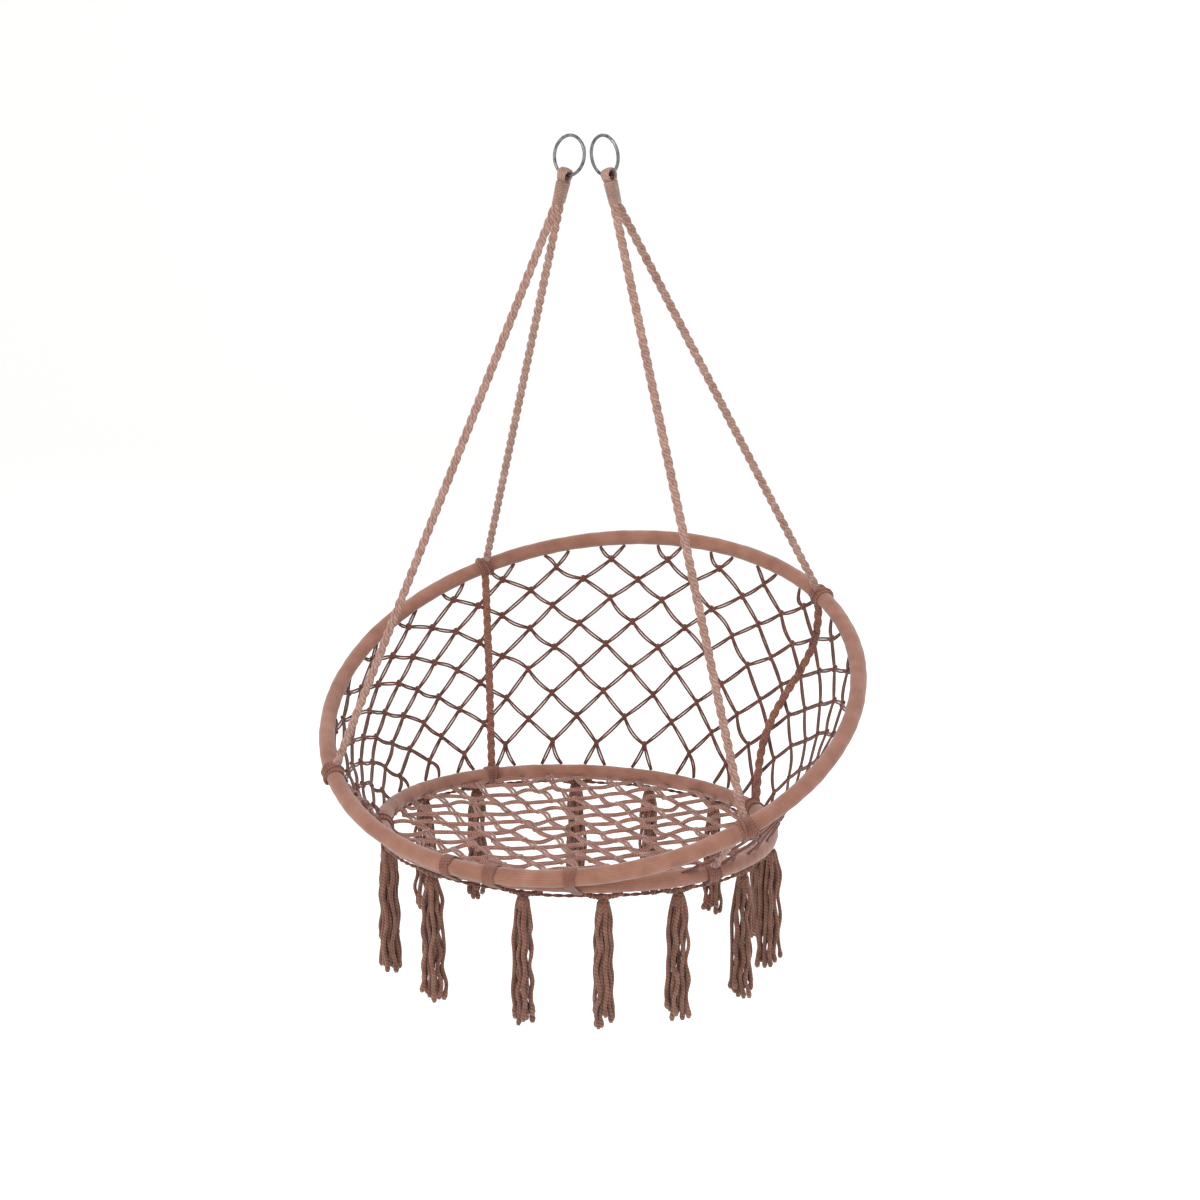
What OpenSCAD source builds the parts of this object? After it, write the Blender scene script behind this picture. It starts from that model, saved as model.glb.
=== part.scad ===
// Macrame hanging swing chair: two covered steel hoops, netted back and seat,
// four plaited ropes, two hanging rings and a fringe of tassels.
// Origin midway between the points where the two rings bear on their hook.
// Front of the chair faces -Y, +Z is up.

/* [Hoops] */
// Outer diameter of the large back hoop over its cover
back_hoop_od = 800; // [760:10:840]
// Outer diameter of the seat hoop over its cover
seat_hoop_od = 584; // [570:1:590]
// Outer diameter of the knitted hoop covers
cover_od = 24; // [22:0.5:25]
// Outer diameter of the steel tube inside each cover
tube_od = 18; // [16:1:19]
// Wall of the steel tubes
tube_wall = 1; // [0.8:0.1:1.5]
// Backward lean of the large hoop from level
back_tilt = 23.5; // [20:0.5:26]
// Lean of the seat hoop from level, negative drops its rear
seat_tilt = -3.8; // [-5:0.1:-2]

/* [Hanging] */
// Height of the large hoop's centre below the hook
back_drop = 783; // [740:1:820]
// Height of the seat hoop's centre below the hook
seat_drop = 969; // [967:1:978]
// How far the large hoop's centre is behind the hook
back_y = 13.5; // [10:0.5:20]
// How far the seat hoop's centre is ahead of the hook
seat_y = 39.5; // [35:0.5:44]
// Outer diameter of a hanging ring
ring_od = 60; // [56:1:66]
// Wire diameter of a hanging ring
ring_wire = 6; // [5:0.5:6]
// Distance between the two rings' bearing points on the hook
ring_gap = 40; // [40:1:60]
// Outward lean of each ring, in line with the ropes' pull
ring_lean = 14; // [8:1:16]
// Turn of the left ring away from square
left_ring_yaw = -20; // [-30:1:0]
// Turn of the right ring away from square
right_ring_yaw = -28; // [-30:1:0]

/* [Ropes] */
// Diameter of a plaited rope
rope_d = 12; // [10:0.5:14]
// Angle from the front of the two front ropes on the large hoop
front_angle = 51.5; // [48:0.5:56]
// Angle from the front of the two rear ropes on the large hoop
rear_angle = 134.5; // [130:0.5:138]
// Height of the cord binding under each ring
binding_h = 32; // [26:1:44]
// Width of the cord hitches that hold the ropes on the hoops
hitch_w = 26; // [20:1:34]
// How far the slack right rear rope bows in
slack = 20; // [0:1:28]

/* [Net and tassels] */
// Thickness of the knotted nets
net_t = 3; // [2:0.5:5]
// Angle from the front where the back net starts
net_start = 58; // [56:1:64]
// How far the net's cords lean forward at the sides, in degrees
net_lead = 6; // [0:0.5:8]
// Length of a tassel's skirt
tassel_len = 180; // [120:5:200]
// Diameter of a tassel's skirt at its ends
tassel_d = 36; // [28:1:42]
// Width of the cord lashings at the front
lashing_w = 18; // [12:1:18]

/* [Hidden] */
$fn = 96;

cover_c = "#b07f6e";
rope_c = "#b88c7c";
net_c = "#6e4a3f";
tassel_c = "#9c7062";
steel_c = "#85888c";

// Hoop centreline radii, and the fit of a cover on its tube
cover_r = cover_od / 2;
back_r = back_hoop_od / 2 - cover_r;
seat_r = seat_hoop_od / 2 - cover_r;
tube_fit = 0.1;
// Sleeve radii of the cord hitches
hitch_in = cover_r + 0.1;
hitch_out = cover_r + 5.5;
rope_stop = cover_r + 3.8;
rope_clear = hitch_out + 3;
// Hanging ring centreline, and the height of its lowest wire
ring_r = (ring_od - ring_wire) / 2;
ring_z = -(ring_r - ring_wire / 2);
eye_z = ring_z - ring_r;
eye_cord = 4;
eye_r = ring_wire / 2 + eye_cord + 2.2;
binding_top = eye_z - 9;
binding_r = rope_d / 2 + 2;
rope_side = rope_d / 2 + 0.3;
rope_top = binding_top - binding_h + 5;
// Distance of the net's edges from the tube centres
net_edge = hitch_out + 7;
rope_pass = 4;
// Where the three lashings and the tassels are tied on the seat hoop, in degrees from the
// front; the tassels are spaced by eye, so each is a little off its even place
lashing_at = [-13, 0, 22];
tie_shift = [7, 3, -1, -1, 0, -4, -2, -3, -4, 4, 0, 0, 2, 3];
tassel_count = 14;
// Half the stretch at the front that the edge cord leaves to the lashings
edge_gap = 26;
// Tassel knots under the seat hoop
knot_r = 5.5;
knot_drop = cover_r + 6.2;
skirt_gap = 0.6;
leg_spread = 4.6;
leg_d = 3.4;

function back_pt(a) = [
    back_r * sin(a),
    back_y - back_r * cos(a) * cos(back_tilt),
    -back_drop - back_r * cos(a) * sin(back_tilt)
];
function seat_pt(a) = [
    seat_r * sin(a),
    -seat_y - seat_r * cos(a) * cos(seat_tilt),
    -seat_drop - seat_r * cos(a) * sin(seat_tilt)
];
// The angle on the seat hoop that lies nearest an angle on the large hoop
function seat_angle(a) = atan2(back_pt(a)[0], -(back_pt(a)[1] + seat_y));
// The angle on the seat hoop that the net's cords run to from the large hoop
function foot_angle(a) = a - net_lead * sin(a);
function toward(a, b, d) = a + (b - a) * d / norm(b - a);
function tassel_angle(i) = 360 * i / tassel_count + tie_shift[i];
function rope_start(side, rear) = [
    side * (ring_gap / 2 - rope_top * sin(ring_lean)),
    rear ? rope_side : -rope_side,
    rope_top * cos(ring_lean)
];
function unit(v) = v / norm(v);

module bar(a, b, r) {
    v = b - a;
    l = norm(v);
    translate(a) rotate([0, acos(v[2] / l), atan2(v[1], v[0])]) cylinder(h = l, r = r);
}

module at_hook(side) {
    translate([side * ring_gap / 2, 0, 0]) rotate([0, -side * ring_lean, 0]) children();
}

module at_back_hoop() {
    translate([0, back_y, -back_drop]) rotate([back_tilt, 0, 0]) children();
}

module at_seat_hoop() {
    translate([0, -seat_y, -seat_drop]) rotate([seat_tilt, 0, 0]) children();
}

module hoop(r, outer, inner) {
    rotate_extrude($fn = 180) translate([r, 0]) difference() {
        circle(outer);
        circle(inner);
    }
}

module sleeve(r, a, outer, inner, w) {
    turn = 180 * w / (PI * r);
    rotate([0, 0, a - 90 - turn / 2]) rotate_extrude(angle = turn, $fn = 180)
        translate([r, 0]) difference() {
            circle(outer);
            circle(inner);
        }
}

module hanging_ring(side, yaw) {
    color(steel_c) at_hook(side) translate([0, 0, ring_z]) rotate([90, 0, yaw])
        rotate_extrude() translate([ring_r, 0]) circle(ring_wire / 2);
}

module rope_eye(side, yaw) {
    color(rope_c) at_hook(side) translate([0, 0, eye_z]) rotate([0, 90, yaw])
        rotate_extrude() translate([eye_r, 0]) circle(eye_cord);
}

module rope_binding(side) {
    color(rope_c) at_hook(side) translate([0, 0, binding_top - binding_h])
        linear_extrude(binding_h) union() {
            for (s = [-1, 1]) translate([0, s * rope_side]) circle(binding_r);
            square([2 * binding_r, 2 * rope_side], center = true);
        }
}

module upper_rope(side, rear) {
    a = side * (rear ? rear_angle : front_angle);
    top = rope_start(side, rear);
    color(rope_c) bar(top, toward(back_pt(a), top, rope_stop), rope_d / 2);
}

module back_hitch(a) {
    color(rope_c) at_back_hoop() sleeve(back_r, a, hitch_out, hitch_in, hitch_w);
}

module seat_hitch(a) {
    color(rope_c) at_seat_hoop() sleeve(seat_r, a, hitch_out, hitch_in, hitch_w);
}

// Rope from the large hoop down to the seat hoop, bowed in by bow near half way
module lower_rope(a, foot_a, bow) {
    top = back_pt(a);
    foot = seat_pt(foot_a);
    inward = unit([-top[0], -top[1] - seat_y, 0]);
    mid = top + (foot - top) * 0.45 + inward * bow;
    start = toward(top, bow > 0 ? mid : foot, rope_stop);
    end = toward(foot, bow > 0 ? mid : top, rope_clear);
    color(rope_c) if (bow > 0) union() {
        bar(start, mid, rope_d / 2);
        translate(mid) sphere(rope_d / 2 + 0.3);
        bar(mid, end, rope_d / 2);
    } else bar(start, end, rope_d / 2);
}

// One strip of the back net: a thin shell ruled between the two hoops
module net_panel(a0, a1, n) {
    m = 2;
    function edge(i, j) =
        let (a = a0 + (a1 - a0) * i / n, p = back_pt(a), q = seat_pt(foot_angle(a)))
        toward(p, q, net_edge) * (1 - j / m) + toward(q, p, net_edge) * j / m;
    function normal(i, j) = unit(cross(
        edge(min(i + 1, n), j) - edge(max(i - 1, 0), j),
        edge(i, min(j + 1, m)) - edge(i, max(j - 1, 0))));
    pts = [for (s = [-1, 1], i = [0:n], j = [0:m]) edge(i, j) + normal(i, j) * s * net_t / 2];
    function id(s, i, j) = s * (n + 1) * (m + 1) + i * (m + 1) + j;
    faces = concat(
        [for (i = [0:n-1], j = [0:m-1]) each [
            [id(1, i, j), id(1, i, j + 1), id(1, i + 1, j)],
            [id(1, i + 1, j), id(1, i, j + 1), id(1, i + 1, j + 1)],
            [id(0, i, j), id(0, i + 1, j), id(0, i, j + 1)],
            [id(0, i + 1, j), id(0, i + 1, j + 1), id(0, i, j + 1)]]],
        [for (i = [0:n-1]) each [
            [id(0, i, 0), id(1, i, 0), id(0, i + 1, 0)],
            [id(0, i + 1, 0), id(1, i, 0), id(1, i + 1, 0)],
            [id(0, i, m), id(0, i + 1, m), id(1, i, m)],
            [id(0, i + 1, m), id(1, i + 1, m), id(1, i, m)]]],
        [for (j = [0:m-1]) each [
            [id(0, 0, j), id(0, 0, j + 1), id(1, 0, j)],
            [id(0, 0, j + 1), id(1, 0, j + 1), id(1, 0, j)],
            [id(0, n, j), id(1, n, j), id(0, n, j + 1)],
            [id(0, n, j + 1), id(1, n, j), id(1, n, j + 1)]]]);
    color(net_c) polyhedron(pts, faces);
}

// Cord wrapped round both hoops at seat angle b, seen along the tubes
module lashing(b, w, slackness) {
    a = asin(seat_r * sin(b) / back_r);
    p = back_pt(a);
    q = seat_pt(b);
    d = q - p;
    turn = (a + b) / 2;
    inner = cover_r + slackness;
    outer = inner + 3;
    along = cos(turn) * d[0] + sin(turn) * d[1];
    across = -sin(turn) * d[0] + cos(turn) * d[1];
    l = norm([across, d[2]]);
    color(rope_c) translate(p + [cos(turn), sin(turn), 0] * along / 2)
        rotate([0, 0, turn]) rotate([0, 90, 0])
        rotate([0, 0, atan2(across, -d[2])]) translate([0, 0, -w / 2])
        linear_extrude(w) difference() {
            union() {
                circle(outer);
                translate([l, 0]) circle(outer);
                translate([0, -outer]) square([l, 2 * outer]);
            }
            circle(inner);
            translate([l, 0]) circle(inner);
            translate([0, -inner]) square([l, 2 * inner]);
        }
}

module seat_net() {
    color(net_c) at_seat_hoop() difference() {
        translate([0, 0, -net_t / 2])
            cylinder(h = net_t, r = seat_r - cover_r + 0.4, $fn = 180);
        for (b = lashing_at) rotate([0, 0, b - 90]) translate([seat_r - cover_r - 6, 0, 0])
            cube([18, lashing_w + 12, 3 * net_t], center = true);
    }
}

module seat_edge_cord() {
    color(net_c) at_seat_hoop() translate([0, 0, -cover_r - 3])
        rotate([0, 0, edge_gap - 90]) rotate_extrude(angle = 360 - 2 * edge_gap, $fn = 180)
        translate([seat_r, 0]) circle(2.4);
}

module tassel_hanger(a) {
    p = seat_pt(a);
    knot = p - [0, 0, knot_drop];
    for (s = [-1, 1]) {
        top = seat_pt(a + s * leg_spread) - [0, 0, cover_r + 1.4];
        bar(top, toward(knot, top, 3), leg_d / 2);
    }
    translate(knot) rotate([0, 0, a - 90]) sphere(knot_r, $fn = 48);
}

module tassel_hangers() {
    color(tassel_c) for (i = [0:tassel_count-1]) tassel_hanger(tassel_angle(i));
}

module tassel(i) {
    color(tassel_c) translate(seat_pt(tassel_angle(i)) - [0, 0, knot_drop + knot_r + skirt_gap])
        mirror([0, 0, 1]) rotate_extrude($fn = 48) polygon([
            [0, 0], [7.5, 0], [tassel_d * 0.4, 14], [tassel_d * 0.45, 60],
            [tassel_d / 2, tassel_len - 8], [tassel_d * 0.42, tassel_len], [0, tassel_len]]);
}

hanging_ring(-1, left_ring_yaw);  // left_hanging_ring
hanging_ring(1, right_ring_yaw);  // right_hanging_ring
rope_eye(-1, left_ring_yaw);  // left_rope_eye
rope_eye(1, right_ring_yaw);  // right_rope_eye
rope_binding(-1);  // left_rope_binding
rope_binding(1);  // right_rope_binding
upper_rope(-1, false);  // front_left_rope
upper_rope(1, false);  // front_right_rope
upper_rope(-1, true);  // rear_left_rope
upper_rope(1, true);  // rear_right_rope
back_hitch(-front_angle);  // front_left_hitch
back_hitch(front_angle);  // front_right_hitch
back_hitch(-rear_angle);  // rear_left_hitch
back_hitch(rear_angle);  // rear_right_hitch
color(steel_c) at_back_hoop()  // back_hoop_tube
    hoop(back_r, tube_od / 2, tube_od / 2 - tube_wall);
color(cover_c) at_back_hoop()  // back_hoop_cover
    hoop(back_r, cover_r, tube_od / 2 + tube_fit);
net_panel(rope_pass - rear_angle, -net_start, 12);  // back_net_left
net_panel(rear_angle + rope_pass, 360 - rear_angle - rope_pass, 14);  // back_net_rear
net_panel(net_start, rear_angle - rope_pass, 12);  // back_net_right
lower_rope(-front_angle, seat_angle(-front_angle), 0);  // front_left_lower_rope
lower_rope(front_angle, seat_angle(front_angle), 0);  // front_right_lower_rope
lower_rope(-rear_angle, foot_angle(-rear_angle), 0);  // rear_left_lower_rope
lower_rope(rear_angle, foot_angle(rear_angle), slack);  // rear_right_lower_rope
lashing(lashing_at[1], lashing_w, 0.6);  // front_lashing_centre
lashing(lashing_at[0], lashing_w - 3, 1.8);  // front_lashing_left
lashing(lashing_at[2], lashing_w - 3, 2.2);  // front_lashing_right
color(steel_c) at_seat_hoop()  // seat_hoop_tube
    hoop(seat_r, tube_od / 2, tube_od / 2 - tube_wall);
color(cover_c) at_seat_hoop()  // seat_hoop_cover
    hoop(seat_r, cover_r, tube_od / 2 + tube_fit);
seat_net();
seat_edge_cord();
seat_hitch(seat_angle(-front_angle));  // front_left_seat_hitch
seat_hitch(seat_angle(front_angle));  // front_right_seat_hitch
seat_hitch(foot_angle(-rear_angle));  // rear_left_seat_hitch
seat_hitch(foot_angle(rear_angle));  // rear_right_seat_hitch
tassel_hangers();
tassel(0);  // tassel_00
tassel(1);  // tassel_01
tassel(2);  // tassel_02
tassel(3);  // tassel_03
tassel(4);  // tassel_04
tassel(5);  // tassel_05
tassel(6);  // tassel_06
tassel(7);  // tassel_07
tassel(8);  // tassel_08
tassel(9);  // tassel_09
tassel(10);  // tassel_10
tassel(11);  // tassel_11
tassel(12);  // tassel_12
tassel(13);  // tassel_13
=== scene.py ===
import math
import bpy
import numpy as np
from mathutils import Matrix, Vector


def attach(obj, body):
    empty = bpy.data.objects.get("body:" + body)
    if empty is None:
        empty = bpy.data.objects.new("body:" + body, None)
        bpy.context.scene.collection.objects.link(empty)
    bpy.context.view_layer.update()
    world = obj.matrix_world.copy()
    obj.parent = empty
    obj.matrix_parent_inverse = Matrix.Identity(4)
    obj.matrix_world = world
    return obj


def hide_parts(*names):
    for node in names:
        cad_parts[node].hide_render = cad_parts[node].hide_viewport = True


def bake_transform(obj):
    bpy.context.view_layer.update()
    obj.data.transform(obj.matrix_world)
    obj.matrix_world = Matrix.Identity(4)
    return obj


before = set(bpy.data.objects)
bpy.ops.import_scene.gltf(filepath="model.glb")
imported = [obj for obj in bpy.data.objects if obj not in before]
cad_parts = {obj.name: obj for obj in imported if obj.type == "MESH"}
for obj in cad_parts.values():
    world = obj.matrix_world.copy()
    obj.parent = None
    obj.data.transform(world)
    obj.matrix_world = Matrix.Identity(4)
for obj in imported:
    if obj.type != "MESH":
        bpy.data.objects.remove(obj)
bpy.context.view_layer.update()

# ---------------------------------------------------------------- sizes, metres
COVER_R = 0.012        # knitted hoop cover, outside radius
# the two hoops by their centrelines; a tilt lifts the rear
BACK = dict(centre=(0, 0.0135, -0.783), radius=0.388, tilt=math.radians(23.5))
SEAT = dict(centre=(0, -0.0395, -0.969), radius=0.280, tilt=math.radians(-3.8))
FRONT, REAR = math.radians(51.5), math.radians(134.5)  # the ropes on the large hoop, from its front
NET_LEAD = math.radians(6)                             # how far the net's cords lead to the front
RING_X, RING_R, LEAN = 0.020, 0.027, math.radians(14)  # half the gap of the rings, and how they lean
RING_Z, EYE_Z, ROPE_TOP_Z = -0.024, -0.051, -0.087     # down the leaning line of each ring
ROPE_SIDE = 0.0063     # the two ropes lie side by side in the binding
TASSELS = 14
TIE_SHIFT = np.radians([7, 3, -1, -1, 0, -4, -2, -3, -4, 4, 0, 0, 2, 3])  # tied by eye, a little uneven
TURN = 2 * math.pi
UP = np.array([0.0, 0.0, 1.0])
dice = np.random.default_rng(7)


# ---------------------------------------------------------------- camera
def aim(yaw, rise, distance, target):
    """A camera at that yaw and rise from the target, looking straight at it."""
    away = np.array([math.sin(yaw) * math.cos(rise), -math.cos(yaw) * math.cos(rise), math.sin(rise)])
    data = bpy.data.cameras.new("camera")
    camera = bpy.data.objects.new("camera", data)
    bpy.context.scene.collection.objects.link(camera)
    camera.location = np.array(target) + away * distance
    camera.rotation_euler = (math.pi / 2 - rise, 0, yaw)
    data.lens, data.sensor_width = 58.35, 36
    data.shift_x, data.shift_y = 0.02, -0.0296
    bpy.context.scene.camera = camera


aim(math.radians(21.5), math.radians(12.6), 2.735, (0, -0.0405, -0.5858))


# ---------------------------------------------------------------- materials
def linear(text):
    """sRGB hex to linear RGBA."""
    c = np.array([int(text[i:i + 2], 16) for i in (1, 3, 5)]) / 255
    c = np.where(c <= 0.04045, c / 12.92, ((c + 0.055) / 1.055) ** 2.4)
    return (*c.tolist(), 1.0)


def add(tree, kind, settings=None, **inputs):
    """One node, with its settings and with values or links for its inputs, by name or _number."""
    n = tree.nodes.new("ShaderNode" + kind)
    for key, value in (settings or {}).items():
        setattr(n, key, value)
    for key, value in inputs.items():
        s = n.inputs[int(key[1:])] if key[0] == "_" else n.inputs[key.replace("__", " ")]
        if isinstance(value, bpy.types.NodeSocket):
            tree.links.new(value, s)
        else:
            s.default_value = value
    return n


def blank(name, **constants):
    """A new material, with its tree and its Principled shader, whose constants are set on its sockets."""
    m = bpy.data.materials.new(name)
    m.use_nodes = True
    tree = m.node_tree
    shader = tree.nodes["Principled BSDF"]
    for key, value in constants.items():
        shader.inputs[key.replace("__", " ")].default_value = value
    return m, tree, shader


def maths(tree, operation, a, b=0.0, c=0.0):
    """The result of one Math node."""
    return add(tree, "Math", {"operation": operation}, _0=a, _1=b, _2=c).outputs[0]


def weighted(tree, first, second, third):
    """first + (second + third), each a pair of a value and its weight."""
    a, b, c = (maths(tree, "MULTIPLY", value, weight) for value, weight in (first, second, third))
    return maths(tree, "ADD", a, maths(tree, "ADD", b, c))


def ramp(tree, factor, stops):
    """A colour ramp over factor, with its stops as pairs of a place and an sRGB hex."""
    n = add(tree, "ValToRGB", Fac=factor)
    while len(n.color_ramp.elements) < len(stops):
        n.color_ramp.elements.new(0.5)
    for e, (at, colour) in zip(n.color_ramp.elements, stops):
        e.position, e.color = at, linear(colour)
    return n.outputs[0]


def around_along(tree):
    """The piece's own UV map: around the cord from 0 to 1, and along it in metres."""
    uv = add(tree, "UVMap", {"uv_map": "cord"}).outputs[0]
    parts = add(tree, "SeparateXYZ", Vector=uv)
    return parts.outputs[0], parts.outputs[1]


def grain(tree, size_mm, detail=3.0):
    """Noise whose grains are about that size, on Object coordinates in metres."""
    where = add(tree, "TexCoord").outputs["Object"]
    return add(tree, "TexNoise", Vector=where, Scale=1000.0 / size_mm, Detail=detail).outputs[0]


def twisted_cotton(name, dark, mid, light, yarns, pitch_mm, depth_mm=0.25):
    """Dyed cotton cord: twisted yarns give slanting ridges, whose grooves are painted darker as painted
    shade; matt, with a dusty sheen and uneven dye.
    """
    m, tree, shader = blank(name, Roughness=0.92, Sheen__Weight=0.25, Sheen__Roughness=0.6,
                            Specular__IOR__Level=0.15)
    around, along = around_along(tree)
    slant = maths(tree, "ADD", maths(tree, "MULTIPLY", around, float(yarns)),
                  maths(tree, "MULTIPLY", along, 1000.0 / pitch_mm))
    wave = maths(tree, "SINE", maths(tree, "MULTIPLY", slant, TURN))
    ridge = maths(tree, "MULTIPLY_ADD", wave, 0.5, 0.5)
    dye = grain(tree, 14.0, 2.0)
    fluff = grain(tree, 0.9, 4.0)
    # the ridge term is painted shade, darker in the grooves between the yarns; the dye and fluff terms are
    # the cord's own uneven tone
    tone = weighted(tree, (ridge, 0.34), (dye, 0.62), (fluff, 0.34))
    colour = ramp(tree, tone, [(0.25, dark), (0.62, mid), (0.98, light)])
    tree.links.new(colour, shader.inputs["Base Color"])
    height = maths(tree, "MULTIPLY_ADD", fluff, 0.5, ridge)
    bump = add(tree, "Bump", Height=height, Distance=depth_mm / 1000, Strength=0.9)
    tree.links.new(bump.outputs[0], shader.inputs["Normal"])
    return m


def knitted_sleeve(name, dark, mid, light, columns, stitch_mm):
    """Knitted cotton sleeve: columns of small V stitches along the tube, painted darker in the hollows
    between the stitches as painted shade; matt with a soft bloom.
    """
    m, tree, shader = blank(name, Roughness=0.9, Sheen__Weight=0.3, Sheen__Roughness=0.5,
                            Specular__IOR__Level=0.15)
    around, along = around_along(tree)
    column = maths(tree, "MULTIPLY", around, float(columns))
    fold = maths(tree, "ABSOLUTE", maths(tree, "SINE", maths(tree, "MULTIPLY", column, math.pi)))
    row = maths(tree, "ADD", maths(tree, "MULTIPLY", along, 1000.0 / stitch_mm),
                maths(tree, "MULTIPLY", fold, 0.5))
    stitch = maths(tree, "MULTIPLY_ADD", maths(tree, "SINE", maths(tree, "MULTIPLY", row, TURN)), 0.5, 0.5)
    raised = maths(tree, "MULTIPLY_ADD", stitch, 0.4, 0.6)
    knit = maths(tree, "MULTIPLY", maths(tree, "POWER", fold, 0.5), raised)
    dye = grain(tree, 30.0, 3.0)
    fluff = grain(tree, 1.2, 3.0)
    # the knit term is painted shade, darker in the hollows between the stitches; the dye and fluff terms are
    # the yarn's own uneven tone
    tone = weighted(tree, (knit, 0.3), (dye, 0.75), (fluff, 0.22))
    colour = ramp(tree, tone, [(0.3, dark), (0.65, mid), (0.98, light)])
    tree.links.new(colour, shader.inputs["Base Color"])
    bump = add(tree, "Bump", Height=knit, Distance=0.0003, Strength=0.5)
    tree.links.new(bump.outputs[0], shader.inputs["Normal"])
    return m


def zinc_wire(name):
    """Zinc-plated welded wire: dull bright metal with drawn lines and a few darker patches."""
    m, tree, shader = blank(name, Metallic=1.0)
    around, _ = around_along(tree)
    patch = grain(tree, 9.0, 3.0)
    lines = add(tree, "TexNoise", {"noise_dimensions": "1D"}, W=maths(tree, "MULTIPLY", around, 60.0),
                Scale=1.0, Detail=2.0).outputs[0]
    tree.links.new(ramp(tree, patch, [(0.3, "#4b4d50"), (0.7, "#8b8d90")]), shader.inputs["Base Color"])
    tree.links.new(maths(tree, "MULTIPLY_ADD", lines, 0.2, 0.24), shader.inputs["Roughness"])
    bump = add(tree, "Bump", Height=lines, Distance=0.00005, Strength=0.5)
    tree.links.new(bump.outputs[0], shader.inputs["Normal"])
    return m


ROPE = twisted_cotton("plaited_cotton_rope", "#6a4b40", "#906d60", "#aa8b80", 3, 6.0, 0.4)
NET = twisted_cotton("twisted_cotton_net_cord", "#34150e", "#592c20", "#784738", 2, 4.0, 0.2)
SEAT_CORD = twisted_cotton("paler_cotton_net_cord", "#4f3027", "#85594b", "#ab8172", 2, 4.0, 0.25)
# the darker wrapping cord; it also serves as painted shade on the rear lower ropes, which are the same
# plaited rope as the rest
WRAP_CORD_AND_SHADED_ROPE = twisted_cotton("wrapped_cord_and_shaded_rope", "#522a1e", "#744637", "#8c5f4e", 2, 4.0, 0.25)
FRINGE = twisted_cotton("loose_cotton_fringe", "#40231b", "#68402f", "#88604f", 2, 5.0, 0.3)
SLEEVE = knitted_sleeve("knitted_cotton_sleeve", "#6a4538", "#865c4c", "#997162", 22, 2.6)
ZINC = zinc_wire("zinc_plated_wire")
STEEL = zinc_wire("bare_steel_tube")


# ---------------------------------------------------------------- surfaces
def skin(name, grids, material, ring_closed=False):
    """Grids (k, n, m, 3) of k tubes with n rings of m points, as one mesh. Rings close on themselves,
    each tube's ends close on a point, or the last ring meets the first where ring_closed says."""
    k, n, m, _ = grids.shape
    points = grids.reshape(-1, 3)
    rows = n if ring_closed else n - 1
    t, i, j = np.meshgrid(np.arange(k), np.arange(rows), np.arange(m), indexing="ij")
    at = lambda a, b: t * n * m + (a % n) * m + (b % m)
    quads = np.stack([at(i, j), at(i, j + 1), at(i + 1, j + 1), at(i + 1, j)], -1).reshape(-1, 4)
    middle = grids.mean(axis=2)
    step = np.linalg.norm(np.diff(middle, axis=1, append=middle[:, :1]), axis=-1)
    along = np.concatenate([np.zeros((k, 1)), np.cumsum(step, axis=1)], axis=1)
    u = np.stack([j, j + 1, j + 1, j], -1).reshape(-1) / m
    v = np.stack([along[t, i], along[t, i], along[t, i + 1], along[t, i + 1]], -1).reshape(-1)
    loops, starts, totals = quads.ravel(), np.arange(len(quads)) * 4, np.full(len(quads), 4)
    if not ring_closed:
        points = np.concatenate([points, middle[:, 0], middle[:, -1]])
        a, b = np.meshgrid(np.arange(k), np.arange(m), indexing="ij")
        first, last = a * n * m, a * n * m + (n - 1) * m
        tris = np.concatenate([
            np.stack([k * n * m + a, first + (b + 1) % m, first + b], -1).reshape(-1, 3),
            np.stack([k * n * m + k + a, last + b, last + (b + 1) % m], -1).reshape(-1, 3)])
        starts = np.concatenate([starts, len(loops) + np.arange(len(tris)) * 3])
        totals = np.concatenate([totals, np.full(len(tris), 3)])
        loops = np.concatenate([loops, tris.ravel()])
        u = np.concatenate([u, np.tile([0.5, 0.0, 0.0], len(tris))])
        v = np.concatenate([v, np.zeros(len(tris) * 3)])
    mesh = bpy.data.meshes.new(name)
    mesh.vertices.add(len(points))
    mesh.vertices.foreach_set("co", points.astype(np.float32).ravel())
    mesh.loops.add(len(loops))
    mesh.loops.foreach_set("vertex_index", loops.astype(np.int32))
    mesh.polygons.add(len(starts))
    mesh.polygons.foreach_set("loop_start", starts.astype(np.int32))
    mesh.polygons.foreach_set("loop_total", totals.astype(np.int32))
    mesh.update(calc_edges=True)
    uv = mesh.uv_layers.new(name="cord")
    uv.data.foreach_set("uv", np.stack([u, v], -1).astype(np.float32).ravel())
    mesh.polygons.foreach_set("use_smooth", np.ones(len(starts), bool))
    mesh.materials.append(material)
    mesh.validate()
    o = bpy.data.objects.new(name, mesh)
    bpy.context.scene.collection.objects.link(o)
    return o


def unit(v):
    """Vectors scaled to length 1."""
    return v / np.maximum(np.linalg.norm(v, axis=-1, keepdims=True), 1e-12)


def tube(paths, radius, sides, lean, flat=1.0):
    """Rings round paths (k, n, 3): point = path + radius (cos b side + flat sin b up), where side is lean
    made square to the path and up is square to both. The radius may vary along a path."""
    along = unit(np.gradient(paths, axis=1))
    lean = np.broadcast_to(np.asarray(lean, float), paths.shape)
    side = unit(lean - (lean * along).sum(-1, keepdims=True) * along)
    up = np.cross(along, side)
    b = np.arange(sides) * TURN / sides
    r = np.broadcast_to(np.asarray(radius, float), paths.shape[:2])[..., None, None]
    ring = np.cos(b)[:, None] * side[:, :, None] + flat * np.sin(b)[:, None] * up[:, :, None]
    return paths[:, :, None] + r * ring


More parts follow.
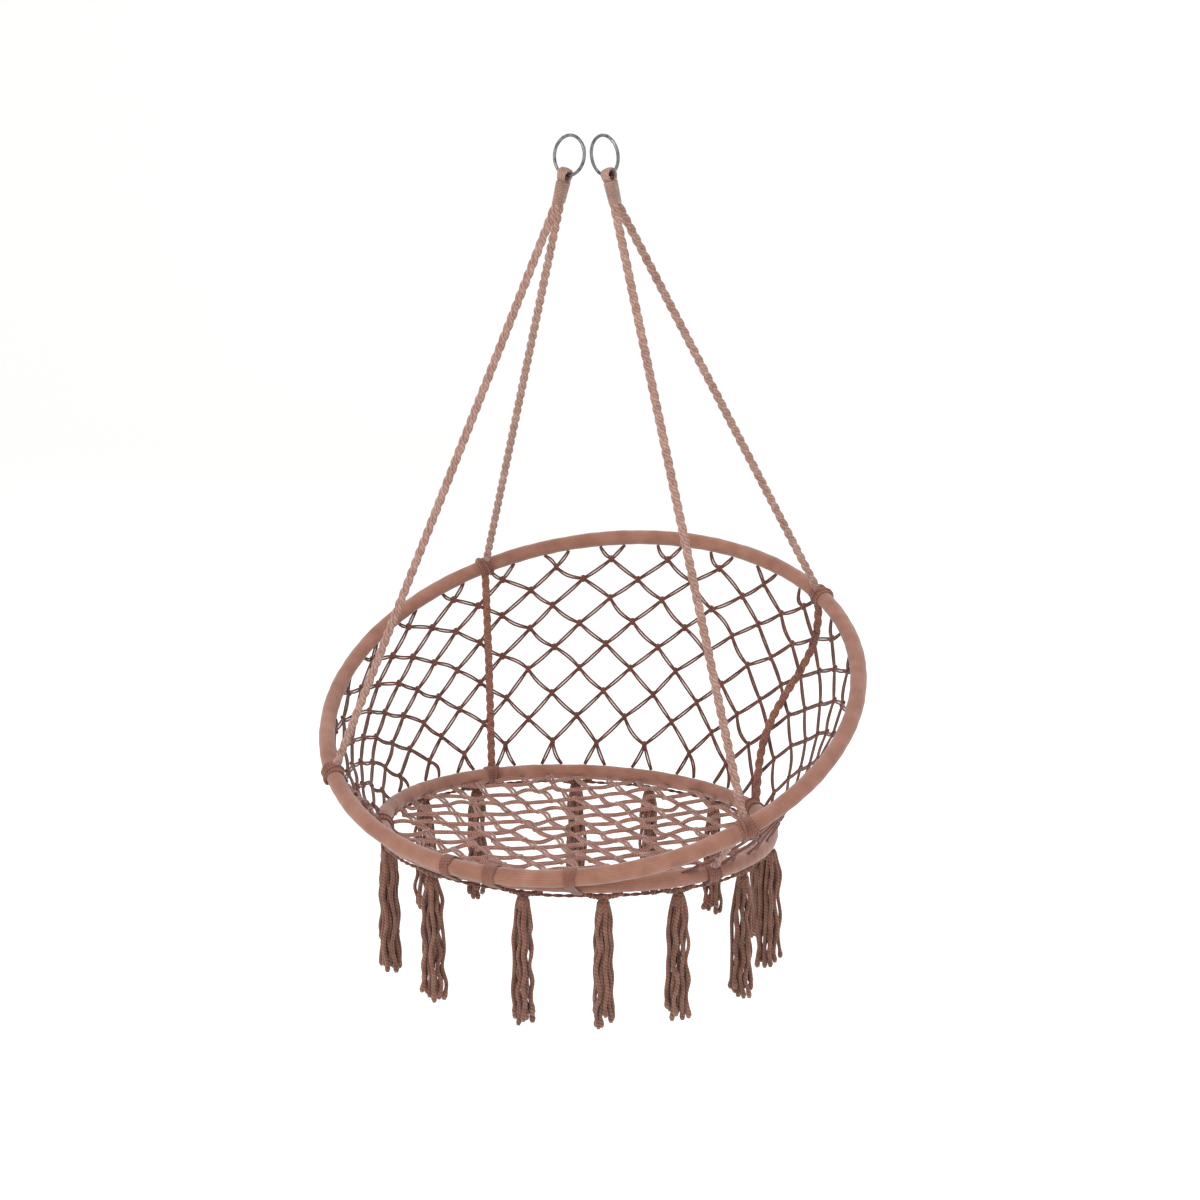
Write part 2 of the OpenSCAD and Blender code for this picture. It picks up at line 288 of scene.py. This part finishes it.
def merge(name, parts, material):
    """Several sets of tubes as one object."""
    made = [skin(name, p, material) for p in parts]
    if len(made) > 1:
        with bpy.context.temp_override(active_object=made[0], selected_editable_objects=made):
            bpy.ops.object.join()
    return made[0]


def hoop(h, a):
    """Centreline point, outward, upward and along directions of a hoop at angle a from its front."""
    a = np.asarray(a, float)
    out = np.stack([np.sin(a), -np.cos(a) * math.cos(h["tilt"]), -np.cos(a) * math.sin(h["tilt"])], -1)
    up = np.broadcast_to([0, -math.sin(h["tilt"]), math.cos(h["tilt"])], out.shape)
    return np.array(h["centre"]) + h["radius"] * out, out, up, np.cross(up, out)


def place(o, body, nodes):
    """Stands the piece in for those nodes, on that body."""
    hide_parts(*nodes)
    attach(o, body)
    return o


# ---------------------------------------------------------------- hoops
def sleeve(name, h, body, node):
    """A ring of round section whose radius swells and shrinks a little, as three sines of the angles
    along and around it, with a raised seam on its inner side."""
    a = math.pi + np.arange(640) * TURN / 640
    b = np.arange(28) * TURN / 28
    p, out, up, _ = hoop(h, a)
    lumps = 0.00018 * np.sin(17 * a)[:, None] + 0.00016 * np.sin(43 * a[:, None] + 2 * b) \
        + 0.00014 * np.sin(91 * a[:, None] - b)
    seam = 0.0007 * np.exp(-((b - math.pi) / 0.12) ** 2)
    r = (COVER_R - 0.0005 + lumps + seam)[..., None]
    ray = np.cos(b)[:, None] * out[:, None] + np.sin(b)[:, None] * up[:, None]
    grid = p[:, None] + r * ray
    return place(skin(name, grid[None], SLEEVE, ring_closed=True), body, [node])


sleeve("back_hoop_sleeve", BACK, "back", "back_hoop_cover")
sleeve("seat_hoop_sleeve", SEAT, "seat", "seat_hoop_cover")
for node in ("back_hoop_tube", "seat_hoop_tube"):
    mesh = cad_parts[node].data
    mesh.materials.clear()
    mesh.materials.append(STEEL)


# ---------------------------------------------------------------- cords wound round a hoop
HITCH_W, HITCH_CORD, HITCH_TURNS = 0.021, 0.0016, 6.5     # width, radius of the cord, turns


def winding(h, angle, width, t, reach):
    """Cord wound round a hoop: point = centreline + reach (cos t out + sin t up), while the place moves
    width along the hoop. Gives the path and its rays from the centreline."""
    s = np.linspace(0, 1, len(t))
    p, out, up, _ = hoop(h, angle + (s - 0.5) * width / h["radius"])
    ray = np.cos(t)[:, None] * out + np.sin(t)[:, None] * up
    return p + reach * ray, ray


def hitch(name, h, angle, body, node, slant):
    """A hitch: six close turns of cord, with a slanting turn laid over them whose ends tuck in."""
    t = np.linspace(0, TURN * HITCH_TURNS, 118)
    path, ray = winding(h, angle, HITCH_W, t, COVER_R + 0.9 * HITCH_CORD)
    under = tube(path[None], HITCH_CORD, 7, ray[None])
    s = np.linspace(0, 1, 44)[:, None]
    lift = COVER_R + 0.0036 - 0.0014 * (2 * s - 1) ** 8
    path, ray = winding(h, angle, slant * (HITCH_W + 0.001), (TURN * 1.1 * s - 0.5)[:, 0], lift)
    over = tube(path[None], HITCH_CORD, 7, ray[None])
    place(merge(name, [under, over], WRAP_CORD_AND_SHADED_ROPE), body, [node])


def near_angle(a):
    """The angle on the seat hoop that lies nearest angle a on the large hoop."""
    p = hoop(BACK, a)[0]
    return math.atan2(p[0], -(p[1] - SEAT["centre"][1]))


def foot(a):
    """The angle on the seat hoop that a cord from angle a on the large hoop runs to."""
    return a - NET_LEAD * np.sin(a)


corners = {"front_left": -FRONT, "front_right": FRONT, "rear_left": -REAR, "rear_right": REAR}
feet = {k: (near_angle(a) if "front" in k else float(foot(a))) for k, a in corners.items()}
for key, a in corners.items():
    hitch(key + "_rope_hitch", BACK, a, "back", key + "_hitch", 1 if a > 0 else -1)
    hitch(key + "_seat_rope_hitch", SEAT, feet[key], "seat", key + "_seat_hitch", 1 if a < 0 else -1)


# ---------------------------------------------------------------- plaited ropes
PLAIT_W, PLAIT_PITCH, STRAND = 0.0124, 0.046, 0.0030     # width, length of one full plait, strand radius


def plait(path, side):
    """Three strands plaited along path (n, 3): strand i lies at A sin(t + 120 i) to the side and
    B sin(2 t + 240 i) up, with t going round once a pitch."""
    step = np.linalg.norm(np.diff(path, axis=0), axis=1)
    run = np.concatenate([[0], np.cumsum(step)])
    along = unit(np.gradient(path, axis=0))
    side = np.broadcast_to(side, path.shape)
    side = unit(side - (side * along).sum(-1, keepdims=True) * along)
    up = np.cross(along, side)
    shift = (np.arange(3) * TURN / 3)[:, None]
    t = TURN * run[None] / PLAIT_PITCH + shift
    reach = PLAIT_W / 2 - STRAND
    strand = path + reach * np.sin(t)[..., None] * side + 0.55 * reach * np.sin(2 * t)[..., None] * up
    return tube(strand, STRAND, 8, up[None], flat=1.12)


def line(a, b, bow=(0, 0, 0)):
    """Points from a to b, 18 to a pitch of the plait, bowed by bow as a half sine."""
    a, b = np.asarray(a, float), np.asarray(b, float)
    n = max(int(np.linalg.norm(b - a) / PLAIT_PITCH * 18), 14)
    s = np.linspace(0, 1, n)[:, None]
    return a + (b - a) * s + np.asarray(bow) * np.sin(math.pi * s)


def up_to(a, b, d):
    """The point at distance d from a on the way to b."""
    a, b = np.asarray(a, float), np.asarray(b, float)
    return a + (b - a) * d / np.linalg.norm(b - a)


def hang(sign, p):
    """Points in a ring's own frame, whose origin is its bearing point, as it hangs: leaned out about Y."""
    x, y, z = np.moveaxis(np.asarray(p, float), -1, 0)
    c, s = math.cos(LEAN), math.sin(LEAN)
    return np.stack([sign * RING_X + x * c - sign * z * s, y, sign * x * s + z * c], -1)


ROPE_STOP = COVER_R + 0.0005     # from the hoop's centreline to the end of an upper rope
SEAT_STOP = COVER_R + 0.0015     # and to the end of a lower rope at the seat hoop


def ropes(key, a):
    """The plait from a ring's binding to the large hoop, and the one that runs on to the seat hoop. The
    right rear one is slack: it bows out, in and out again, as a sum of three sines."""
    left, rear, slack = "left" in key, "rear" in key, key == "rear_right"
    top = hang(-1 if left else 1, [0, ROPE_SIDE if rear else -ROPE_SIDE, ROPE_TOP_Z])
    end = hoop(BACK, a)[0]
    facing = unit(np.cross(end - top, [0, 1, 0]))
    rope = plait(line(top, up_to(end, top, ROPE_STOP)), facing)
    place(skin(key + "_plait", rope, ROPE), "back", [key + "_rope"])
    low = hoop(SEAT, feet[key])[0]
    inward = unit(np.array([-end[0], SEAT["centre"][1] - end[1], 0]))
    path = line(up_to(end, low, ROPE_STOP), up_to(low, end, SEAT_STOP), inward * (0.008 if slack else 0.003))
    if slack:
        s = np.linspace(0, 1, len(path))[:, None]
        path = path - inward * (0.016 * np.sin(TURN * s) + 0.004 * np.sin(3 * math.pi * s))
    # painted shade: the rear lower ropes take the darker wrapping cord's colour for the shade they hang in,
    # though they are the same rope
    lower = skin(key + "_lower_plait", plait(path, facing), WRAP_CORD_AND_SHADED_ROPE if rear else ROPE)
    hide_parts(key + "_lower_rope")
    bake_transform(lower)


for key, a in corners.items():
    ropes(key, a)


# ---------------------------------------------------------------- rings, eyes and bindings
WIRE_R, WELD_R = 0.0023, 0.0027                        # radii of the wire and of its weld
EYE_CORD, EYE_R, EYE_GAP = 0.0022, 0.0074, 0.0041      # radii of the cord and the loop; loop to loop
WHIP_CORD, WHIP_R, WHIP_TURNS = 0.00135, 0.0068, 12
WHIP_Z, WHIP_H = -0.0602, 0.0300                       # its top and its length


def round_path(z, radius, across, t):
    """A circle in the upright plane along across, at height z: radius (cos t across + sin t up)."""
    return z * UP + radius * (np.cos(t)[:, None] * across + np.sin(t)[:, None] * UP)


def wire_ring(sign, word, across, face):
    """A torus of wire, a little thicker at its weld as exp(-(t / width) squared)."""
    t = np.linspace(0, TURN, 160, endpoint=False)
    path = round_path(RING_Z, RING_R, across, t)
    out = unit(path - RING_Z * UP)
    wire = WIRE_R + (WELD_R - WIRE_R) * np.exp(-((t - 0.6) / 0.07) ** 2)
    b = np.arange(20) * TURN / 20
    ray = np.cos(b)[:, None] * out[:, None] + np.sin(b)[:, None] * face
    grid = path[:, None] + wire[:, None, None] * ray
    ring = skin(word + "_wire_ring", hang(sign, grid[None, :, ::-1]), ZINC, ring_closed=True)
    place(ring, "rings", [word + "_hanging_ring"])


def eye_loops(sign, word, across, face):
    """Four close turns of thick cord looped over the wire, drawn together and longer below it."""
    t = np.linspace(0, TURN, 44, endpoint=False)
    loops = []
    for k in (-1.5, -0.5, 0.5, 1.5):
        path = round_path(EYE_Z, EYE_R + 0.0008 * math.cos(k * 0.9), face, t)
        path += across * k * EYE_GAP * (0.8 + 0.2 * np.sin(t))[:, None]
        path += 0.0032 * np.minimum(np.sin(t), 0)[:, None] * UP
        loops.append(np.concatenate([path, path[:1]]))
    eye = tube(hang(sign, np.stack(loops)), EYE_CORD, 8, across)
    place(skin(word + "_eye_loop", eye, ROPE), "back", [word + "_rope_eye"])


def whipping(sign, word):
    """Cord wound round both legs of the eye: an oval of two half circles joined by straights, which
    narrows towards its foot, over a core that rounds off at both ends as a sine."""
    s = np.linspace(0, 1, WHIP_TURNS * 28)
    t = TURN * WHIP_TURNS * s
    taper = 1.0 - 0.13 * s
    x = WHIP_R * taper * np.cos(t)
    y = (ROPE_SIDE * np.clip(np.sin(t) * 4, -1, 1) + WHIP_R * np.sin(t)) * taper
    path = np.stack([x, y, WHIP_Z - WHIP_H * s], -1)
    coil = tube(hang(sign, path)[None], WHIP_CORD, 6, unit(np.stack([x, y, 0 * x], -1))[None])
    core = line([0, 0, WHIP_Z + 0.0014], [0, 0, WHIP_Z - WHIP_H - 0.0023])
    round_off = np.minimum(1, 3 * np.sin(np.linspace(0.12, math.pi - 0.12, len(core))))
    core = tube(hang(sign, core)[None], (WHIP_R - 0.0002) * round_off[None], 20, [1, 0, 0], flat=1.75)
    whip = merge(word + "_whipping", [coil, core], ROPE)
    place(whip, "back", [word + "_rope_binding"])


for sign, word, yaw in ((-1, "left", math.radians(-20)), (1, "right", math.radians(-28))):
    across = np.array([math.cos(yaw), math.sin(yaw), 0.0])
    face = np.array([-math.sin(yaw), math.cos(yaw), 0.0])
    wire_ring(sign, word, across, face)
    eye_loops(sign, word, across, face)
    whipping(sign, word)


# ---------------------------------------------------------------- knotted nets
def doubled(a, b, cord, apart, droop, face):
    """Two cords side by side from points a to points b (k, 3), together at the knots and apart between,
    both bent by droop as a half sine."""
    bulge = np.sin(math.pi * np.linspace(0, 1, 7))[:, None]
    path = a[:, None] + (b - a)[:, None] * np.linspace(0, 1, 7)[:, None] + droop[:, None] * bulge
    side = unit(np.cross(b - a, face))[:, None]
    spread = apart * (0.55 + 0.45 * bulge)
    both = np.concatenate([path + side * spread, path - side * spread])
    return tube(both, cord, 5, np.concatenate([face, face])[:, None])


KNOT_SIDE, KNOT_DOWN, KNOT_FACE = 0.0050, 0.0060, 0.0036     # radii of a knot


def knots(at, face, down):
    """Small barrels with a waist, as a square knot has: radius sin(t) ** 0.7, less a dip at the middle."""
    side = unit(np.cross(down, face))
    down = unit(down)
    t = np.linspace(0.12, math.pi - 0.12, 7)
    b = np.arange(8) * TURN / 8
    waist = np.sin(t) ** 0.7 * (1 - 0.22 * np.exp(-((t - math.pi / 2) / 0.35) ** 2))
    t, b, waist = t[:, None, None, None], b[:, None, None], waist[:, None, None, None]
    ring = np.cos(b) * KNOT_SIDE * side + np.sin(b) * KNOT_FACE * face
    grid = waist * ring - np.cos(t) * KNOT_DOWN * down
    return (at + grid).transpose(2, 0, 1, 3)


def back_surface(u, v):
    """Ruled between the hoops: u is the angle on the large hoop, and v goes from 0 there to 1 on the seat
    hoop, along the line from u to its foot."""
    p, q = hoop(BACK, u)[0], hoop(SEAT, foot(u))[0]
    d = unit(q - p)
    p, q = p + d * COVER_R, q - d * COVER_R
    return p + (q - p) * v[..., None]


NET_A, NET_B = math.radians(57), math.radians(303)     # where the net starts and ends, round the rear
COLUMNS = 18
# rows of knots, as shares of the way down, a little closer near the large hoop
LEVELS = np.array([0.065, 0.150, 0.250, 0.350, 0.450, 0.555, 0.665, 0.780, 0.900])
NET_CORD, NET_APART = 0.0016, 0.0019
SEAT_NET_CORD, SEAT_NET_APART = 0.0021, 0.0032


def weave_back():
    """Knots at whole columns on even levels and at half columns on odd ones, each joined to its two
    neighbours above and below; the first and last level are looped to the hoops."""
    pitch = (NET_B - NET_A) / COLUMNS
    level, column = np.meshgrid(np.arange(len(LEVELS)), np.arange(COLUMNS + 1), indexing="ij")
    half = (level % 2) * 0.5
    keep = column + half <= COLUMNS
    u = NET_A + (column + half) * pitch + dice.normal(0, 0.006, column.shape)
    v = LEVELS[level] + dice.normal(0, 0.006, column.shape)
    last = len(LEVELS) - 1
    starts, ends = [], []
    for j in range(last):
        shift = 1 if j % 2 else 0
        for d in (0, 1):
            c = np.arange(COLUMNS + 1)
            n = c + shift - 1 + d
            ok = keep[j] & (n >= 0) & (n <= COLUMNS)
            ok[ok] &= keep[j + 1][n[ok]]
            starts.append(np.stack([u[j][ok], v[j][ok]], -1))
            ends.append(np.stack([u[j + 1][n[ok]], v[j + 1][n[ok]]], -1))
    for j, to in ((0, 0.0), (last, 1.0)):
        for d in (-0.22, 0.22):
            starts.append(np.stack([u[j][keep[j]], v[j][keep[j]]], -1))
            ends.append(np.stack([u[j][keep[j]] + d * pitch, np.full(keep[j].sum(), to)], -1))
    starts, ends = np.concatenate(starts), np.concatenate(ends)
    return starts, ends, np.stack([u[keep], v[keep]], -1)


def face_of(uv):
    """Outward direction of the net's surface at (u, v), and the direction down it."""
    e = 0.02
    du = back_surface(uv[:, 0] + e, uv[:, 1]) - back_surface(uv[:, 0] - e, uv[:, 1])
    dv = back_surface(uv[:, 0], uv[:, 1] + e) - back_surface(uv[:, 0], uv[:, 1] - e)
    return unit(np.cross(dv, du)), unit(dv)


def share_out(net):
    """Works out each point's place between the two hoops, from 0 at the large one to 1 at the seat, along
    the nearest of a fan of lines; the result is neither stored nor used."""
    co = np.zeros(len(net.data.vertices) * 3, np.float32)
    net.data.vertices.foreach_get("co", co)
    co = co.reshape(-1, 3).astype(float)
    fan = np.linspace(NET_A - 0.3, NET_B + 0.3, 240)
    p, q = back_surface(fan, np.zeros(240)), back_surface(fan, np.ones(240))
    d = q - p
    t = ((co[:, None] - p) * d).sum(-1) / (d * d).sum(-1)
    off = np.linalg.norm(co[:, None] - p - d * t[..., None], axis=-1)
    share = np.clip(t[np.arange(len(co)), off.argmin(1)], 0, 1)


def back_net(node, low, high):
    """The cords and knots of the back net whose angle lies from low to high."""
    mid = (starts[:, 0] + ends[:, 0]) / 2
    pick = (mid >= low) & (mid < high)
    s, e = starts[pick], ends[pick]
    k = tied[(tied[:, 0] >= low) & (tied[:, 0] < high)]
    a, b = back_surface(s[:, 0], s[:, 1]), back_surface(e[:, 0], e[:, 1])
    droop = dice.normal(0, 1, (len(a), 1)) * 0.0015 - 0.0012 * UP
    cords = doubled(a, b, NET_CORD, NET_APART, droop, face_of((s + e) / 2)[0])
    net = merge(node + "_cords", [cords, knots(back_surface(k[:, 0], k[:, 1]), *face_of(k))], NET)
    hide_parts(node)
    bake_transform(net)
    share_out(net)


starts, ends, tied = weave_back()
back_net("back_net_right", 0, REAR)
back_net("back_net_rear", REAR, TURN - REAR)
back_net("back_net_left", TURN - REAR, TURN)


def weave_seat():
    """A diamond net on the disc: knots at (column + half, row), cords to the four diagonal neighbours,
    and a cord that leaves the disc is cut where it meets the hoop: |a + c (b - a)| = edge, solved for c.
    Gives the cords' starts and ends and the knots."""
    wide, deep, edge, margin = 0.062, 0.027, SEAT["radius"] - COVER_R, 0.012
    row, column = np.meshgrid(np.arange(-10, 11), np.arange(-6, 7), indexing="ij")
    x = (column + (row % 2) * 0.5) * wide + dice.normal(0, 0.0022, row.shape)
    y = row * deep + dice.normal(0, 0.0022, row.shape)
    inside = np.hypot(x, y) < edge - margin
    a, b = [], []
    for j in range(row.shape[0] - 1):
        for d in (0, 1):
            c = np.arange(row.shape[1])
            n = c + (row[j, 0] % 2) - 1 + d
            ok = (n >= 0) & (n < row.shape[1])
            ok[ok] &= inside[j][c[ok]] | inside[j + 1][n[ok]]
            first = np.stack([x[j][c[ok]], y[j][c[ok]]], -1)
            second = np.stack([x[j + 1][n[ok]], y[j + 1][n[ok]]], -1)
            swap = ~inside[j][c[ok]]
            a.append(np.where(swap[:, None], second, first))
            b.append(np.where(swap[:, None], first, second))
    a, b = np.concatenate(a), np.concatenate(b)
    d = b - a
    aa, ab, bb = (a * a).sum(1), (a * d).sum(1), (d * d).sum(1)
    cut = (-ab + np.sqrt(np.maximum(ab ** 2 - bb * (aa - edge ** 2), 0))) / bb
    inner = np.hypot(*b.T) < edge - margin
    b = np.where(inner[:, None], b, a + d * cut[:, None])
    return a, b, np.stack([x[inside], y[inside]], -1)


def seat_surface(xy):
    """The seat hoop's disc, lying low in it and sagging at its middle by sag (1 - (r / R) squared)."""
    tilt, sag, low = SEAT["tilt"], 0.016, 0.004
    x, y = xy[..., 0], xy[..., 1]
    z = -sag * (1 - (xy ** 2).sum(-1) / SEAT["radius"] ** 2) - low
    turned = [x, y * math.cos(tilt) - z * math.sin(tilt), y * math.sin(tilt) + z * math.cos(tilt)]
    return np.array(SEAT["centre"]) + np.stack(turned, -1)


def seat_net():
    """The seat's cords, each a little slack its own way, and their knots."""
    a, b, k = weave_seat()
    wave = dice.normal(0, 1, (len(a), 3)) * np.array([0.002, 0.004, 0.003])
    up = np.tile(UP, (len(a), 1))
    cords = doubled(seat_surface(a), seat_surface(b), SEAT_NET_CORD, SEAT_NET_APART, wave, up)
    tied = knots(seat_surface(k), np.tile(UP, (len(k), 1)), np.tile([0.0, 1.0, 0.0], (len(k), 1)))
    place(merge("seat_net_cords", [cords, tied], SEAT_CORD), "seat", ["seat_net"])


seat_net()


# ---------------------------------------------------------------- lashings round both hoops at the front
def lashing(name, b, turns, width, node):
    """Cord wound round both hoops: two half circles about the tubes joined by straights, moving along
    the hoops by width."""
    a = math.asin(SEAT["radius"] * math.sin(b) / BACK["radius"])     # as far to the side on the large hoop
    p, q = hoop(BACK, a)[0], hoop(SEAT, b)[0]
    turn = (a + b) / 2
    along = np.array([math.cos(turn), math.sin(turn), 0.0])
    axis = q - p
    axis = unit(axis - axis.dot(along) * along)
    other = np.cross(along, axis)
    s = np.linspace(0, 1, int(turns * 36))
    t = TURN * turns * s
    across = np.clip(0.5 + 3.0 * np.cos(t), 0, 1)[:, None]
    ray = np.cos(t)[:, None] * axis + np.sin(t)[:, None] * other
    path = p * (1 - across) + q * across + (COVER_R + 0.0015) * ray + along * (s[:, None] - 0.5) * width
    o = skin(name, tube(path[None], 0.0012, 6, ray[None]), WRAP_CORD_AND_SHADED_ROPE)
    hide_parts(node)
    if node.endswith("centre"):
        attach(o, "back")
    else:
        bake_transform(o)


lashing("centre_lashing", 0.0, 7.5, 0.0165, "front_lashing_centre")
lashing("left_lashing", math.radians(-13), 6.5, 0.0140, "front_lashing_left")
lashing("right_lashing", math.radians(22), 6.5, 0.0140, "front_lashing_right")


# ---------------------------------------------------------------- edge cord, hangers and tassels
def edge_cord():
    """Two strands twisted round each other under the seat hoop, which dip between the tassels."""
    a = np.arange(TASSELS * 36) * TURN / (TASSELS * 36)
    p, out, up, _ = hoop(SEAT, a)
    scallop = np.abs(np.sin(a * TASSELS / 2)) ** 0.8
    strands = []
    for turned in (0, math.pi):
        twist = 60 * a + turned
        down = -(COVER_R + 0.0028) - 0.0014 * scallop + 0.0011 * np.sin(twist)
        aside = 0.0011 * np.cos(twist) + 0.0015 * np.sin(7 * a)
        strand = p + down[:, None] * up + aside[:, None] * out
        strands.append(np.concatenate([strand, strand[:1]]))
    lean = np.stack([np.concatenate([out, out[:1]])] * 2)
    edge = skin("scalloped_edge_cord", tube(np.stack(strands), 0.0014, 6, lean), NET)
    place(edge, "seat", ["seat_edge_cord"])


edge_cord()

spots = np.arange(TASSELS) * TURN / TASSELS + TIE_SHIFT
p, out, _, along = hoop(SEAT, spots)
knot = p - (COVER_R + 0.0062) * UP


def tassel_ties():
    """Each tie is a lumpy cord of two twisted strands slung under the hoop, knotted at its middle: a
    trefoil, (sin t + 2 sin 2t, cos t - 2 cos 2t, -1.3 sin 3t)."""
    s = np.linspace(-1, 1, 40)
    slung, slung_out, _, _ = hoop(SEAT, spots[:, None] + math.radians(5.2) * s)
    drop = COVER_R + 0.0014 + 0.0048 * (1 - np.abs(s) ** 1.6)
    slung = slung - drop[:, None] * UP
    lumps = np.tile(0.0018 + 0.0007 * np.abs(np.sin(7.5 * s)), (TASSELS, 1))
    parts = []
    for turned in (0, math.pi):
        twist = (16 * s + turned)[:, None]
        leg = slung + 0.0019 * (np.cos(twist) * slung_out + np.sin(twist) * UP)
        parts.append(tube(leg, lumps, 7, slung_out))
    t = np.linspace(0, TURN, 60)[:, None]
    size = 0.0046 / 3
    aside = 1.5 * size * (np.sin(t) + 2 * np.sin(2 * t))
    rise = 0.9 * size * (np.cos(t) - 2 * np.cos(2 * t))
    proud = size * -1.3 * np.sin(3 * t)
    tie = knot[:, None] + aside * along[:, None] + rise * UP + proud * out[:, None]
    parts.append(tube(tie, 0.0021, 7, out[:, None] + 0.3 * along[:, None]))
    place(merge("tassel_ties", parts, FRINGE), "seat", ["tassel_hangers"])


tassel_ties()


CORDS = 13                 # in one tassel
GOLDEN = 0.381966          # of a turn between one cord and the next, so that they fill a disc evenly


def tassel(i):
    """Loose cords hanging from one point: each spreads from the neck to its own place, wanders a little
    on the way down as slow sines do, and ends in a small knot, with a band wound round the neck."""
    top = knot[i] - 0.0030 * UP
    s = np.linspace(0, 1, 40)[None, :]
    angle = TURN * np.arange(CORDS) * GOLDEN + i
    reach = 0.0155 * np.sqrt((np.arange(CORDS) + 0.5) / CORDS) * dice.uniform(0.85, 1.15)
    length = 0.181 - dice.uniform(0.0, 0.020, CORDS)
    spread = 0.30 + 0.70 * np.minimum(1, (s * 5) ** 0.6) * (0.72 + 0.28 * s)

    def wander():
        size = dice.uniform(0.0008, 0.0026, (CORDS, 1))
        waves = dice.uniform(1.6, 4.2, (CORDS, 1))
        return size * np.sin(TURN * (waves * s + dice.uniform(0, 1, (CORDS, 1)))) * np.minimum(1, 4 * s)

    x = (spread * (reach * np.cos(angle))[:, None] + wander())[..., None]
    y = (spread * (reach * np.sin(angle))[:, None] + wander())[..., None]
    path = top + x * along[i] + y * out[i] - (s * length[:, None])[..., None] * UP
    thick = 0.0027 + 0.0002 * np.sin(9 * s + angle[:, None])
    end_knot = 1 + 0.75 * np.exp(-((s - 0.965) / 0.018) ** 2)
    strands = tube(path, thick * end_knot, 7, out[i])
    t = np.linspace(0, 1, 72)[:, None]
    turn = TURN * 4.5 * t
    ray = np.cos(turn) * along[i] + np.sin(turn) * out[i]
    band = top - (0.004 + 0.011 * t) * UP + (0.0074 + 0.0010 * t) * ray
    name = "tassel_%02d" % i
    o = merge(name + "_cords", [strands, tube(band[None], 0.0015, 6, ray[None])], FRINGE)
    place(o, name, [name])


for i in range(TASSELS):
    tassel(i)


# ---------------------------------------------------------------- floor and light
def room():
    """A pale floor that curves up into a wall far behind, as one sheet: flat, then a quarter circle, then
    straight up."""
    rows, low, curve = 40, -1.62, 2.5
    s = np.linspace(0, 1, rows)
    flat, arc = s < 0.5, np.clip((s - 0.5) / 0.3, 0, 1) * math.pi / 2
    y = np.where(flat, -8 + 14 * s / 0.5, 6 + curve * np.sin(arc))
    z = np.where(flat, 0, curve * (1 - np.cos(arc)) + np.clip(s - 0.8, 0, 1) * 30) + low
    gx, gy = np.meshgrid([-9.0, 0.0, 9.0], y, indexing="ij")
    gz = np.broadcast_to(z, gx.shape)
    mesh = bpy.data.meshes.new("floor")
    i, j = np.meshgrid(np.arange(2), np.arange(rows - 1), indexing="ij")
    first = i * rows + j
    quads = np.stack([first, first + rows, first + rows + 1, first + 1], -1).reshape(-1, 4)
    mesh.from_pydata(np.stack([gx, gy, gz], -1).reshape(-1, 3).tolist(), [], quads.tolist())
    mesh.polygons.foreach_set("use_smooth", np.ones(len(mesh.polygons), bool))
    # matt white paper: bright, with no gloss
    paper, _, _ = blank("matt_white_paper", Base__Color=linear("#fbfbfa"), Roughness=0.95,
                        Specular__IOR__Level=0.1)
    mesh.materials.append(paper)
    o = bpy.data.objects.new("floor", mesh)
    bpy.context.scene.collection.objects.link(o)


def lamp(name, at, target, size, power):
    """A round area light at that place, turned to the target."""
    data = bpy.data.lights.new(name, "AREA")
    data.shape, data.size, data.energy = "DISK", size, power
    o = bpy.data.objects.new(name, data)
    bpy.context.scene.collection.objects.link(o)
    o.location = at
    o.rotation_euler = (Vector(target) - Vector(at)).to_track_quat("-Z", "Y").to_euler()


room()
middle = (0, 0, -0.65)
lamp("key", (-1.6, -3.2, 1.6), middle, 2.2, 80)
lamp("fill", (2.6, -2.6, 0.4), middle, 2.6, 34)
lamp("back_light", (0.6, 3.0, 1.8), middle, 2.4, 45)
world = bpy.data.worlds.new("studio")
world.use_nodes = True
world.node_tree.nodes["Background"].inputs[0].default_value = (1, 1, 1, 1)
world.node_tree.nodes["Background"].inputs[1].default_value = 1.0
bpy.context.scene.view_settings.view_transform = "Standard"
bpy.context.scene.world = world
